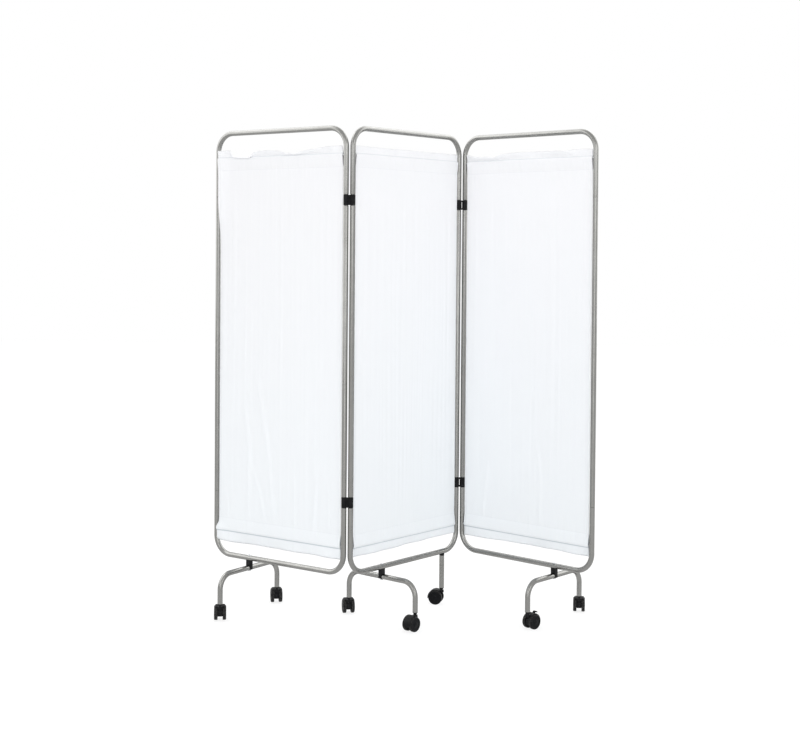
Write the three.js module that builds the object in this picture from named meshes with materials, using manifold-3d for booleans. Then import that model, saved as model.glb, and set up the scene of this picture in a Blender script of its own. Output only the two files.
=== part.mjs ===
import * as THREE from 'three';
import { mergeVertices } from 'three/addons/utils/BufferGeometryUtils.js';
import Module from 'manifold-3d';

// A folding privacy screen: three tubular steel panels with gathered curtains, joined by plastic
// hinge clips and standing on seven twin-wheel castors. Millimetres, +Z up, floor at z = 0.
// Sizes come first, then the shapes that pieces share, the pieces, and the assembly.

// Panels: loops of round tube, drawn between centre lines
const panelWidth = 571;
const frameHeight = 1500;
const railAboveFloor = 192;
const frameTubeRadius = 9;
const tubeWall = 1.3;
const frameBendRadius = 65;
const hingePitch = 22.5;

// Plan of the screen as it stands: the turn of each panel and of the clips from the X axis, in degrees
const leftAngle = -34.9;
const middleAngle = 49.2;
const rightAngle = -42.2;

// Joints inside the stiles: a drawn-down end plugs into the bow, and the clips turn on bared necks
const neckWall = 1.2;
const spigotClearance = 0.5;
const spigotLength = 25;
const linerBite = 0.6;
const linerLength = 4;
const seamDepth = 0.4;
const seamWidth = 0.8;

// Hinge clips
const clipHeight = 36;
const clipFromRail = 242.5;
const clipBridge = 8;
const clipBridgeHeight = 7;

// Feet: a bar across the panel, bent down at both ends, and one straight post
const legTubeRadius = 9;
const legBendRadius = 50;
const footReach = 152;
const outerFootInset = 155;
const middleFootInset = 161;
const postInset = 81;

// Saddle blocks, the post's top plug and the bolts through them
const saddleWidth = 22.5;
const saddleSpacer = 16;
const saddleEar = 5;
const postSpacer = 5;
const postEar = 3;
const boltRadius = 3;
const boltHeadRadius = 6;
const boltHeadHeight = 3;
const nutRadius = 5.5;
const nutHeight = 4.5;

// Curtain rods and curtains
const rodRadius = 4;
const rodFromRail = 92;
const rodBite = 4.2;
const curtainSideGap = 3;
const curtainRuffle = 32;
const pocketReach = 10;
const casingReach = 38;
const foldReach = 60;
const pocketDepth = 7.6;
const clothDepth = 1;
const clothFold = 5;
const ruffleFold = 4;
const pocketFold = 1.5;
const foldPitch = 36;

// Castors
const wheelRadius = 25;
const wheelWidth = 12;
const wheelGap = 17.5;
const wheelEdge = 3;
const wheelCapThickness = 3;
const axleRadius = 3;
const axleOffset = 20;
const hoodWidth = 34;
const hoodGap = 1.1;
const hoodWall = 2.4;
const webGap = 0.75;
const webRadius = 21.5;
const bossRadius = 8.5;
const bossHeight = 9;
const bossTop = 52;
const hoodFrontAngle = -8;
const hoodBackAngle = 125;
const webBackAngle = 120;
const lipTopAngle = 155;
const lipFootAngle = 215;
const webFootAngle = 325;
const webFrontAngle = 345;
const mouthHeight = 9;
const mouthBack = 3;
const stemRadius = 5;
const stemEntry = 22;
const neckHeight = 3.5;
const collarHeight = 4.5;
const collarFootRadius = 6.6;
const plugLength = 24;

// Brake lever
const leverWidth = 9;
const leverHubRadius = 3.6;
const leverPinRadius = 1.5;
const leverPinAhead = 6;
const leverPinHeight = 44;
const leverReach = 20;
const leverRise = 13;
const leverThickness = 3;

// Fits: still pieces lie a seat gap apart, and turning pieces a running gap
const seatGap = 0.3;
const runningGap = 0.3;
const cutOverrun = 2;

// Facets
const tubeSides = 12;
const boreSides = 8;
const bendSteps = 4;
const wheelSides = 16;
const hoodArcSteps = 6;
const webArcSteps = 3;

// Worked out from the sizes above
const topRail = railAboveFloor + frameHeight;
const frameBoreRadius = frameTubeRadius - tubeWall;
const neckRadius = frameBoreRadius - spigotClearance;
const clipBoreRadius = neckRadius + runningGap;
const lowerClip = railAboveFloor + clipFromRail;
const upperClip = topRail - clipFromRail;
const clipSpace = clipHeight / 2 + seatGap;
const seam = lowerClip - clipSpace;
const topRod = topRail - rodFromRail;
const bottomRod = railAboveFloor + rodFromRail;
const rodEnd = frameBoreRadius - rodBite;
const barHeight = railAboveFloor - frameTubeRadius - saddleSpacer - legTubeRadius;
const legBoreRadius = legTubeRadius - tubeWall;
const plugRadius = legBoreRadius * Math.cos(Math.PI / boreSides) - seatGap;
const legEnd = bossTop + neckHeight + collarHeight;
const postTop = railAboveFloor - frameTubeRadius - postSpacer;
const leverPinX = axleOffset + leverPinAhead;
const hoodInnerRadius = wheelRadius / Math.cos(Math.PI / wheelSides) + hoodGap;
const hoodRadius = hoodInnerRadius + hoodWall;

const steel = new THREE.MeshStandardMaterial({ color: 0xb3b5b4, roughness: 0.36, metalness: 1 });
const zinc = new THREE.MeshStandardMaterial({ color: 0xd0d2d3, roughness: 0.28, metalness: 1 });
const cloth = new THREE.MeshStandardMaterial({ color: 0xf2f4f6, roughness: 0.9, metalness: 0 });
const plastic = new THREE.MeshStandardMaterial({ color: 0x1b1c1e, roughness: 0.5, metalness: 0 });
const nylon = new THREE.MeshStandardMaterial({ color: 0x141517, roughness: 0.42, metalness: 0 });

const wasm = await Module();
wasm.setup();

// A closed geometry as a solid that can be joined and cut
function solid(geometry) {
  const bare = new THREE.BufferGeometry();
  bare.setAttribute('position', geometry.getAttribute('position'));
  bare.setIndex(geometry.getIndex());
  const merged = mergeVertices(bare, 1e-4);
  const index = merged.getIndex().array;
  const triVerts = [];
  for (let i = 0; i < index.length; i += 3) {
    const [a, b, c] = index.slice(i, i + 3);
    if (a !== b && b !== c && c !== a) triVerts.push(a, b, c);
  }
  return new wasm.Manifold(new wasm.Mesh({
    numProp: 3,
    vertProperties: new Float32Array(merged.getAttribute('position').array),
    triVerts: new Uint32Array(triVerts),
  }));
}

// A finished solid as a named mesh
function piece(name, form, material) {
  const { vertProperties, triVerts } = form.getMesh();
  const geometry = new THREE.BufferGeometry();
  geometry.setAttribute('position', new THREE.BufferAttribute(vertProperties, 3));
  geometry.setIndex(new THREE.BufferAttribute(triVerts, 1));
  geometry.computeVertexNormals();
  const mesh = new THREE.Mesh(geometry, material);
  mesh.name = name;
  return mesh;
}

// The corners of a regular polygon whose flats face along X and Y
function corners(radius, sides) {
  return Array.from({ length: sides }, (_, k) => {
    const angle = (2 * Math.PI * (k + 0.5)) / sides;
    return new THREE.Vector2(radius * Math.cos(angle), radius * Math.sin(angle));
  });
}

// The corner radius of a polygon that a circle of this radius just fits inside
function around(radius, sides) {
  return radius / Math.cos(Math.PI / sides);
}

// How far a tube's flats lie from its centre line
function flat(radius) {
  return radius * Math.cos(Math.PI / tubeSides);
}

// A tube's centre line: straight runs with square bends, and a section at each end of every run
class BentLine extends THREE.Curve {
  constructor(turningPoints, bendRadius) {
    super();
    const heading = (k) => turningPoints[k + 1].clone().sub(turningPoints[k]).normalize();
    const last = turningPoints.length - 1;
    this.sections = [{ point: turningPoints[0], tangent: heading(0) }];
    for (let k = 1; k < last; k += 1) {
      const before = heading(k - 1);
      const after = heading(k);
      const centre = turningPoints[k].clone()
        .addScaledVector(before, -bendRadius)
        .addScaledVector(after, bendRadius);
      for (let step = 0; step <= bendSteps; step += 1) {
        const angle = (Math.PI / 2) * (step / bendSteps);
        const point = centre.clone()
          .addScaledVector(after, -bendRadius * Math.cos(angle))
          .addScaledVector(before, bendRadius * Math.sin(angle));
        const tangent = before.clone()
          .multiplyScalar(Math.cos(angle))
          .addScaledVector(after, Math.sin(angle));
        this.sections.push({ point, tangent });
      }
    }
    this.sections.push({ point: turningPoints[last], tangent: heading(last - 1) });
    this.steps = this.sections.length - 1;
  }

  getPointAt(share, target = new THREE.Vector3()) {
    return target.copy(this.sections[Math.round(share * this.steps)].point);
  }

  getTangentAt(share, target = new THREE.Vector3()) {
    return target.copy(this.sections[Math.round(share * this.steps)].tangent);
  }
}

// A round tube bent along turning points
function bentTube(turningPoints, bendRadius, radius, boreRadius) {
  const section = new THREE.Shape(corners(radius, tubeSides));
  section.holes.push(new THREE.Path(corners(boreRadius, boreSides)));
  const extrudePath = new BentLine(turningPoints, bendRadius);
  return solid(new THREE.ExtrudeGeometry(section, { extrudePath, steps: extrudePath.steps }));
}

// A body of revolution on a vertical axis, from radius and height pairs that run anticlockwise
function turned(profile, sides, x = 0, y = 0) {
  const points = profile.map(([radius, height]) => new THREE.Vector2(radius, height));
  const geometry = new THREE.LatheGeometry(points, sides, Math.PI / sides);
  return solid(geometry.rotateX(Math.PI / 2).translate(x, y, 0));
}

// A closed ring profile between two radii and two heights
function ringProfile(inner, outer, low, high) {
  return [[inner, low], [outer, low], [outer, high], [inner, high], [inner, low]];
}

// A plain upright cylinder
function upright(radius, sides, low, high, x = 0, y = 0) {
  return turned([[0, low], [radius, low], [radius, high], [0, high]], sides, x, y);
}

// A straight prism of a polygon's section, lying along X from one end to the other
function lyingAlongX(radius, sides, from, to, y, z) {
  const shape = new THREE.Shape(corners(radius, sides));
  const geometry = new THREE.ExtrudeGeometry(shape, { depth: to - from, bevelEnabled: false });
  return solid(geometry.rotateY(Math.PI / 2).translate(from, y, z));
}

// The same, lying along Y
function lyingAlongY(radius, sides, from, to, x, z) {
  const shape = new THREE.Shape(corners(radius, sides));
  const geometry = new THREE.ExtrudeGeometry(shape, { depth: to - from, bevelEnabled: false });
  return solid(geometry.rotateX(-Math.PI / 2).translate(x, from, z));
}

// A block given by its middle and its size
function block(width, depth, height, x, y, z) {
  return solid(new THREE.BoxGeometry(width, depth, height).translate(x, y, z));
}

// A plate cut to a side outline of X and Z points, centred on y = 0
function plate(outline, width) {
  const geometry = new THREE.ExtrudeGeometry(new THREE.Shape(outline), { depth: width, bevelEnabled: false });
  return solid(geometry.rotateX(Math.PI / 2).translate(0, width / 2, 0));
}

// Points along an arc about a centre, angles in degrees
function arc(centreX, centreZ, radius, from, to, steps) {
  return Array.from({ length: steps + 1 }, (_, k) => {
    const angle = THREE.MathUtils.degToRad(from + (to - from) * (k / steps));
    return new THREE.Vector2(centreX + radius * Math.cos(angle), centreZ + radius * Math.sin(angle));
  });
}

// The clear hole that a curtain rod needs, in the stiles as in the curtain's pockets
function rodHole(height) {
  const start = rodEnd - seatGap;
  return lyingAlongX(rodRadius + seatGap, boreSides, start, panelWidth - start, 0, height);
}

// The clear hole for a bolt
function boltHole(x, low, high) {
  return upright(around(boltRadius + seatGap, boreSides), boreSides, low, high, x);
}

// The drawn-down part of a stile between two heights. Its wall carries on inside the full tube above,
// and below it either does the same or runs on as the spigot that plugs into the lower bow.
function drawnNeck(x, low, high, hasSpigot) {
  const bore = neckRadius - neckWall;
  const liner = frameBoreRadius + linerBite;
  const below = hasSpigot
    ? [[bore, low - spigotLength], [neckRadius, low - spigotLength]]
    : [[bore, low - linerLength], [liner, low - linerLength], [liner, low], [neckRadius, low]];
  const above = [[neckRadius, high], [liner, high], [liner, high + linerLength], [bore, high + linerLength]];
  return turned([...below, ...above, below[0]], boreSides, x);
}

// The upper frame: the top bow and both stiles. Where the hinge clips turn, the stile's full tube is
// cut away and the drawn neck shows; a fine seam marks the bow's joint in a stile without clips.
function upperFrame(hingedStiles) {
  const cutter = around(frameTubeRadius + cutOverrun, boreSides);
  const foot = seam + seatGap;
  let frame = bentTube([
    new THREE.Vector3(0, 0, foot),
    new THREE.Vector3(0, 0, topRail),
    new THREE.Vector3(panelWidth, 0, topRail),
    new THREE.Vector3(panelWidth, 0, foot),
  ], frameBendRadius, frameTubeRadius, frameBoreRadius);
  for (const x of [0, panelWidth]) {
    const seamTop = upperClip + clipSpace;
    if (hingedStiles.includes(x)) {
      frame = frame
        .subtract(upright(cutter, boreSides, foot - cutOverrun, lowerClip + clipSpace, x))
        .subtract(upright(cutter, boreSides, upperClip - clipSpace, seamTop, x))
        .add(drawnNeck(x, seam, lowerClip + clipSpace, true))
        .add(drawnNeck(x, upperClip - clipSpace, seamTop, false));
    } else {
      const grooveFoot = seamTop - seamWidth / 2;
      const groove = ringProfile(frameTubeRadius - seamDepth, cutter, grooveFoot, grooveFoot + seamWidth);
      frame = frame.add(drawnNeck(x, seam, foot, true)).subtract(turned(groove, tubeSides, x));
    }
  }
  return frame.subtract(rodHole(topRod));
}

// The lower bow: the bottom rail and the two bends that the stiles plug into
function lowerBow(boltPlaces) {
  let bow = bentTube([
    new THREE.Vector3(0, 0, seam),
    new THREE.Vector3(0, 0, railAboveFloor),
    new THREE.Vector3(panelWidth, 0, railAboveFloor),
    new THREE.Vector3(panelWidth, 0, seam),
  ], frameBendRadius, frameTubeRadius, frameBoreRadius);
  const reach = frameTubeRadius + cutOverrun;
  for (const x of boltPlaces) {
    bow = bow.subtract(boltHole(x, railAboveFloor - reach, railAboveFloor + reach));
  }
  return bow.subtract(rodHole(bottomRod));
}

// A curtain rod, its ends held in the holes of both stiles
function curtainRod(height) {
  return lyingAlongX(rodRadius, boreSides, rodEnd, panelWidth - rodEnd, 0, height);
}

// A gathered curtain, sewn into a deep casing round each rod with a ruffle standing past it. The cloth
// runs from fold to fold across the panel, and each level has its own thickness and depth of fold. Its
// front and back split their squares along the same diagonals, so that the cloth keeps its thickness.
function curtain() {
  const start = frameTubeRadius + curtainSideGap;
  const width = panelWidth - 2 * start;
  const folds = 2 * Math.round(width / foldPitch);
  const levels = [
    { height: bottomRod - curtainRuffle, depth: clothDepth, fold: ruffleFold },
    { height: bottomRod - pocketReach, depth: clothDepth, fold: pocketFold },
    { height: bottomRod, depth: pocketDepth, fold: pocketFold },
    { height: bottomRod + casingReach, depth: clothDepth, fold: pocketFold },
    { height: bottomRod + casingReach + foldReach, depth: clothDepth, fold: clothFold },
    { height: topRod - casingReach - foldReach, depth: clothDepth, fold: clothFold },
    { height: topRod - casingReach, depth: clothDepth, fold: pocketFold },
    { height: topRod, depth: pocketDepth, fold: pocketFold },
    { height: topRod + pocketReach, depth: clothDepth, fold: pocketFold },
    { height: topRod + curtainRuffle, depth: clothDepth, fold: ruffleFold },
  ];
  const geometry = new THREE.BoxGeometry(1, 1, 1, folds, 1, levels.length - 1);
  const position = geometry.getAttribute('position');
  for (let i = 0; i < position.count; i += 1) {
    const across = position.getX(i) + 0.5;
    const level = levels[Math.round((position.getZ(i) + 0.5) * (levels.length - 1))];
    const side = Math.sign(position.getY(i));
    const wave = Math.round(across * folds) % 2 === 0 ? -1 : 1;
    position.setXYZ(i, start + across * width, side * level.depth + wave * level.fold, level.height);
  }
  const back = geometry.groups[2];
  const index = geometry.getIndex();
  for (let i = back.start; i < back.start + back.count; i += 6) {
    index.setX(i + 2, index.getX(i + 4));
    index.setX(i + 3, index.getX(i));
  }
  return solid(geometry).subtract(rodHole(topRod)).subtract(rodHole(bottomRod));
}

// A foot: one tube bent to an upside-down U that stands square across the panel
function foot(x) {
  const bar = bentTube([
    new THREE.Vector3(x, -footReach, legEnd),
    new THREE.Vector3(x, -footReach, barHeight),
    new THREE.Vector3(x, footReach, barHeight),
    new THREE.Vector3(x, footReach, legEnd),
  ], legBendRadius, legTubeRadius, legBoreRadius);
  const reach = legTubeRadius + cutOverrun;
  return bar.subtract(boltHole(x, barHeight - reach, barHeight + reach));
}

// The saddle block between a panel's bottom rail and its foot: one cradle for each tube, crossed
function saddle(x) {
  const low = barHeight + legTubeRadius - saddleEar;
  const high = railAboveFloor - frameTubeRadius + saddleEar;
  const half = saddleWidth / 2 + cutOverrun;
  return block(saddleWidth, saddleWidth, high - low, x, 0, (low + high) / 2)
    .subtract(lyingAlongX(frameTubeRadius + seatGap, tubeSides, x - half, x + half, 0, railAboveFloor))
    .subtract(lyingAlongY(legTubeRadius + seatGap, tubeSides, -half, half, x, barHeight))
    .subtract(boltHole(x, low - cutOverrun, high + cutOverrun));
}

// A bolt with a domed head on the bottom rail, and its nut, whose top face is given
function bolt(x, nutTop) {
  const seat = railAboveFloor + flat(frameTubeRadius) + seatGap;
  return turned([
    [0, nutTop - nutHeight],
    [nutRadius, nutTop - nutHeight],
    [nutRadius, nutTop],
    [boltRadius, nutTop],
    [boltRadius, seat],
    [boltHeadRadius, seat],
    [boltHeadRadius * 0.7, seat + boltHeadHeight * 0.8],
    [0, seat + boltHeadHeight],
  ], boreSides, x);
}

// The straight post that carries the middle panel's third castor
function post(x) {
  return bentTube([
    new THREE.Vector3(x, 0, legEnd),
    new THREE.Vector3(x, 0, postTop),
  ], legBendRadius, legTubeRadius, legBoreRadius);
}

// The plug in the post's top: a collar cradles the rail, and its shank fills the tube
function postPlug(x) {
  const high = railAboveFloor - frameTubeRadius + postEar;
  const half = legTubeRadius + cutOverrun;
  const low = postTop - plugLength;
  return upright(legTubeRadius, tubeSides, postTop + seatGap, high, x)
    .add(upright(plugRadius, tubeSides, low, postTop + postSpacer / 2, x))
    .subtract(lyingAlongX(frameTubeRadius + seatGap, tubeSides, x - half, x + half, 0, railAboveFloor))
    .subtract(boltHole(x, low - cutOverrun, high + cutOverrun));
}

// A hinge clip: two sleeves on the necks of neighbouring stiles, bridged above and below a window
function hingeClip(height) {
  const low = height - clipHeight / 2;
  const high = height + clipHeight / 2;
  const sleeves = [-hingePitch / 2, hingePitch / 2];
  const windowWidth = hingePitch - 2 * frameTubeRadius;
  const windowHeight = clipHeight - 2 * clipBridgeHeight;
  let clip = block(hingePitch, clipBridge, clipHeight, 0, 0, height);
  for (const x of sleeves) clip = clip.add(upright(frameTubeRadius, tubeSides, low, high, x));
  clip = clip.subtract(block(windowWidth, clipBridge + cutOverrun, windowHeight, 0, 0, height));
  for (const x of sleeves) {
    const bore = around(clipBoreRadius, tubeSides);
    clip = clip.subtract(upright(bore, tubeSides, low - cutOverrun, high + cutOverrun, x));
  }
  return clip;
}

// A castor's plug in the end of a leg: a tapered collar below the tube and a bore for the stem
function castorPlug() {
  const bore = around(stemRadius + runningGap, tubeSides);
  const low = legEnd - collarHeight;
  const high = legEnd - seatGap;
  return turned([
    [bore, low],
    [collarFootRadius, low],
    [legTubeRadius, high],
    [plugRadius, high],
    [plugRadius, legEnd + plugLength],
    [bore, legEnd + plugLength],
    [bore, low],
  ], tubeSides);
}

// A castor's hood: a guard over both wheels, the web between them with an open mouth under the boss,
// the steel stem that turns in the leg's plug, and the axle that both wheels run on
function castorHood(hasBrake) {
  const guard = plate([
    ...arc(axleOffset, wheelRadius, hoodRadius, hoodFrontAngle, hoodBackAngle, hoodArcSteps),
    ...arc(axleOffset, wheelRadius, hoodInnerRadius, hoodBackAngle, hoodFrontAngle, hoodArcSteps),
  ], hoodWidth);
  const bossFoot = bossTop - bossHeight;
  const lip = arc(axleOffset, wheelRadius, webRadius, lipTopAngle, lipFootAngle, webArcSteps);
  const web = plate([
    ...arc(axleOffset, wheelRadius, hoodRadius - hoodWall / 2, hoodFrontAngle, webBackAngle, hoodArcSteps),
    new THREE.Vector2(mouthBack, bossFoot),
    new THREE.Vector2(mouthBack, bossFoot - mouthHeight),
    ...lip,
    ...arc(axleOffset, wheelRadius, webRadius, webFootAngle, webFrontAngle, 1),
  ], wheelGap - 2 * webGap);
  const axleHalf = wheelGap / 2 + wheelWidth - wheelCapThickness - seatGap;
  let hood = guard.add(web)
    .add(upright(bossRadius, tubeSides, bossFoot, bossTop))
    .add(upright(stemRadius, boreSides, bossFoot + hoodWall, legEnd + stemEntry))
    .add(lyingAlongY(axleRadius, boreSides, -axleHalf, axleHalf, axleOffset, wheelRadius));
  if (hasBrake) {
    const slotStart = leverPinX - leverHubRadius - runningGap;
    const slotLow = leverPinHeight - leverHubRadius - runningGap;
    const slotLength = leverReach + 2 * leverHubRadius + cutOverrun;
    const slotHeight = leverRise + leverHubRadius + cutOverrun;
    hood = hood.subtract(block(
      slotLength,
      leverWidth + 2 * runningGap,
      slotHeight,
      slotStart + slotLength / 2,
      0,
      slotLow + slotHeight / 2,
    ));
    const pinHalf = wheelGap / 2 - 2 * webGap;
    hood = hood.add(lyingAlongY(leverPinRadius, boreSides, -pinHalf, pinHalf, leverPinX, leverPinHeight));
  }
  return hood;
}

// One wheel: a rounded outer edge, a closed cap and a blind bore for the axle. Its flats face down.
function castorWheel(side) {
  const tread = around(wheelRadius, wheelSides);
  const bore = around(axleRadius + runningGap, wheelSides);
  const points = [
    [0, wheelWidth - wheelCapThickness],
    [bore, wheelWidth - wheelCapThickness],
    [bore, 0],
    [tread, 0],
    [tread, wheelWidth - wheelEdge],
    [tread - wheelEdge, wheelWidth],
    [0, wheelWidth],
  ].map(([radius, height]) => new THREE.Vector2(radius, height));
  const geometry = new THREE.LatheGeometry(points, wheelSides, Math.PI / wheelSides);
  geometry.translate(0, wheelGap / 2, 0);
  if (side < 0) geometry.rotateZ(Math.PI);
  return solid(geometry.translate(axleOffset, 0, wheelRadius));
}

// The brake lever: a hub on its pin in the hood, and a cranked arm that a foot presses down
function brakeLever() {
  const at = (x, z) => new THREE.Vector2(leverPinX + x, leverPinHeight + z);
  const arm = plate([
    at(-leverHubRadius * 0.8, 0),
    at(leverHubRadius, 0),
    at(leverReach * 0.48, leverRise - leverThickness),
    at(leverReach * 0.9, leverRise - 2 * leverThickness),
    at(leverReach, leverRise - leverThickness),
    at(leverReach * 0.6, leverRise + leverThickness / 3),
    at(leverReach * 0.3, leverRise),
  ], leverWidth);
  const half = leverWidth / 2;
  const hub = lyingAlongY(leverHubRadius, tubeSides, -half, half, leverPinX, leverPinHeight);
  const bore = around(leverPinRadius + runningGap, boreSides);
  const past = half + cutOverrun;
  return arm.add(hub).subtract(lyingAlongY(bore, boreSides, -past, past, leverPinX, leverPinHeight));
}

// A whole castor under one leg, turned so that its wheels trail towards an angle in degrees
function castor(name, x, y, trail, hasBrake = false) {
  const whole = new THREE.Group();
  whole.position.set(x, y, 0);
  const plug = piece(`${name}_castor_plug`, castorPlug(), plastic);
  const swivel = new THREE.Group();
  swivel.rotation.z = THREE.MathUtils.degToRad(trail);
  swivel.add(
    piece(`${name}_castor_hood`, castorHood(hasBrake), plastic),
    piece(`${name}_castor_wheel_a`, castorWheel(1), nylon),
    piece(`${name}_castor_wheel_b`, castorWheel(-1), nylon),
  );
  if (hasBrake) swivel.add(piece(`${name}_castor_brake_lever`, brakeLever(), plastic));
  whole.add(plug, swivel);
  return whole;
}

// A panel with its curtain, rods and foot, in its own frame: X runs from its left stile to its right
function panel(name, hingedStiles, footAt, boltPlaces) {
  const whole = new THREE.Group();
  whole.add(
    piece(`${name}_upper_frame`, upperFrame(hingedStiles), steel),
    piece(`${name}_lower_bow`, lowerBow(boltPlaces), steel),
    piece(`${name}_top_rod`, curtainRod(topRod), zinc),
    piece(`${name}_bottom_rod`, curtainRod(bottomRod), zinc),
    piece(`${name}_curtain`, curtain(), cloth),
    piece(`${name}_foot`, foot(footAt), steel),
    piece(`${name}_foot_saddle`, saddle(footAt), plastic),
    piece(`${name}_foot_bolt`, bolt(footAt, barHeight - flat(legTubeRadius) - seatGap), zinc),
  );
  return whole;
}

// The two clips of one hinge, on a line between neighbouring stiles
function hinge(name) {
  const whole = new THREE.Group();
  whole.add(
    piece(`${name}_hinge_lower_clip`, hingeClip(lowerClip), plastic),
    piece(`${name}_hinge_upper_clip`, hingeClip(upperClip), plastic),
  );
  return whole;
}

// Assembly: the middle panel starts at the left hinge, and the outer panels lead on from its stiles.
// Each castor trails as it was left when the screen was last pushed, in degrees from the X axis.
const upAxis = new THREE.Vector3(0, 0, 1);
const outerFootOnLeft = outerFootInset;
const outerFootOnRight = panelWidth - outerFootInset;
const postAt = panelWidth - postInset;
const turnOf = (degrees) => THREE.MathUtils.degToRad(degrees);
const along = (degrees, length) => new THREE.Vector3(length, 0, 0).applyAxisAngle(upAxis, turnOf(degrees));

const left = panel('left', [panelWidth], outerFootOnLeft, [outerFootOnLeft]);
left.rotation.z = turnOf(leftAngle);
left.position.set(-hingePitch / 2, 0, 0).sub(along(leftAngle, panelWidth));
left.add(
  castor('left_front', outerFootOnLeft, -footReach, 96 - leftAngle),
  castor('left_back', outerFootOnLeft, footReach, 100 - leftAngle),
);

const middle = panel('middle', [0, panelWidth], middleFootInset, [middleFootInset, postAt]);
middle.rotation.z = turnOf(middleAngle);
middle.position.set(hingePitch / 2, 0, 0);
middle.add(
  piece('middle_post', post(postAt), steel),
  piece('middle_post_plug', postPlug(postAt), plastic),
  piece('middle_post_bolt', bolt(postAt, postTop - plugLength - seatGap), zinc),
  castor('middle_front', middleFootInset, -footReach, 230 - middleAngle),
  castor('middle_back', middleFootInset, footReach, 100 - middleAngle),
  castor('middle_post', postAt, 0, 165 - middleAngle),
);

const right = panel('right', [0], outerFootOnRight, [outerFootOnRight]);
right.rotation.z = turnOf(rightAngle);
right.position.copy(middle.position).add(along(middleAngle, panelWidth)).add(along(0, hingePitch));
right.add(
  castor('right_front', outerFootOnRight, -footReach, 42 - rightAngle, true),
  castor('right_back', outerFootOnRight, footReach, 82 - rightAngle),
);

const leftHinge = hinge('left');
const rightHinge = hinge('right');
rightHinge.position.copy(middle.position).add(along(middleAngle, panelWidth)).add(along(0, hingePitch / 2));

// The origin is on the floor under the middle of the whole screen
const screen = new THREE.Group();
screen.add(left, middle, right, leftHinge, rightHinge);
const centre = new THREE.Box3().setFromObject(screen, true).getCenter(new THREE.Vector3()).setZ(0);
for (const part of screen.children) part.position.sub(centre);

export default screen;
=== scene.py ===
import math

import bmesh
import bpy
from mathutils import Matrix, Vector, noise


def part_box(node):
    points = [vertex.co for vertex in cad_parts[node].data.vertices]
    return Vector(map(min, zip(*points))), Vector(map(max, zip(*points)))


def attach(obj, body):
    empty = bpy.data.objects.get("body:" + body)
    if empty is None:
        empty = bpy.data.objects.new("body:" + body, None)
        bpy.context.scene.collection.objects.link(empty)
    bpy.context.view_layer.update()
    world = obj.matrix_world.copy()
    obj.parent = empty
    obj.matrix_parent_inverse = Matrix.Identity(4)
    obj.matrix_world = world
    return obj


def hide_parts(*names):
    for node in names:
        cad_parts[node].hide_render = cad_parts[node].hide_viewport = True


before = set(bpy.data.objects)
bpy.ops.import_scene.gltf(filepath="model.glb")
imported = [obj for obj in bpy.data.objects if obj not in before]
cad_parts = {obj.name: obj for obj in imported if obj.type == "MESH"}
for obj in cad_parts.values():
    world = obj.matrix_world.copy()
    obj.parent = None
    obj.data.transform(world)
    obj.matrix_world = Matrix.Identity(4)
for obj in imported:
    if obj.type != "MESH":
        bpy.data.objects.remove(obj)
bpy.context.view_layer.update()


# How the screen stands: three panels in a zigzag, each a frame of its own, hinged stile to stile.
# Every piece below is drawn flat in its panel's own frame, where X runs from the left stile to
# the right one, and is then set in its place by the panel's matrix.
panel_width = 0.571
hinge_pitch = 0.0225
panel_turns = {"left": -34.9, "middle": 49.2, "right": -42.2}


def turned_by(degrees):
    return Matrix.Rotation(math.radians(degrees), 4, "Z")


clip_low, clip_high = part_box("left_hinge_lower_clip")
left_hinge = (clip_low + clip_high) / 2
left_hinge.z = 0
half_pitch = Vector((hinge_pitch / 2, 0, 0))
across = Vector((panel_width, 0, 0))
middle_start = left_hinge + half_pitch
middle_end = middle_start + turned_by(panel_turns["middle"]) @ across
right_hinge = middle_end + half_pitch
panel_starts = {
    "left": left_hinge - half_pitch - turned_by(panel_turns["left"]) @ across,
    "middle": middle_start,
    "right": middle_end + 2 * half_pitch,
}
panel_places = {
    panel: Matrix.Translation(start) @ turned_by(panel_turns[panel])
    for panel, start in panel_starts.items()}


# The frames: loops of thin stainless tube, satin polished lengthwise, with a bow bent into the top.
# The stiles' lower ends are drawn down and plug into the lower bow, and where the hinge clips turn
# the full tube gives way to a bare drawn neck. Rods enter through holes in the stiles' inner sides.
tube_sides = 40
bend_steps = 18
frame_radius = 0.009
tube_wall = 0.0013
tube_rim = 0.0004
bore_rim = 0.0003
frame_bend = 0.065
bottom_rail = 0.192
top_rail = 1.692
neck_radius = 0.0072
neck_step = 0.0001
neck_shoulder = (
    (0.0003, 0.0018), (0.0005, 0.0009), (0.0006, 0.0004), (0.0007, 0.0001), (0.0003, 0.0))
shoulder_length = sum(length for length, drop in neck_shoulder)
clip_heights = (0.4345, 1.4495)
clip_space = 0.0183
seam = clip_heights[0] - clip_space
seam_depth = 0.0004
seam_rim = 0.0006
spigot_length = 0.025
spigot_tip = 0.001
socket_depth = 0.030
rod_from_rail = 0.092
rod_radius = 0.004
rod_end = 0.0035
rod_hole_end = 0.013
hole_gap = 0.0003
up = Vector((0, 0, 1))
right = Vector((1, 0, 0))


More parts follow.
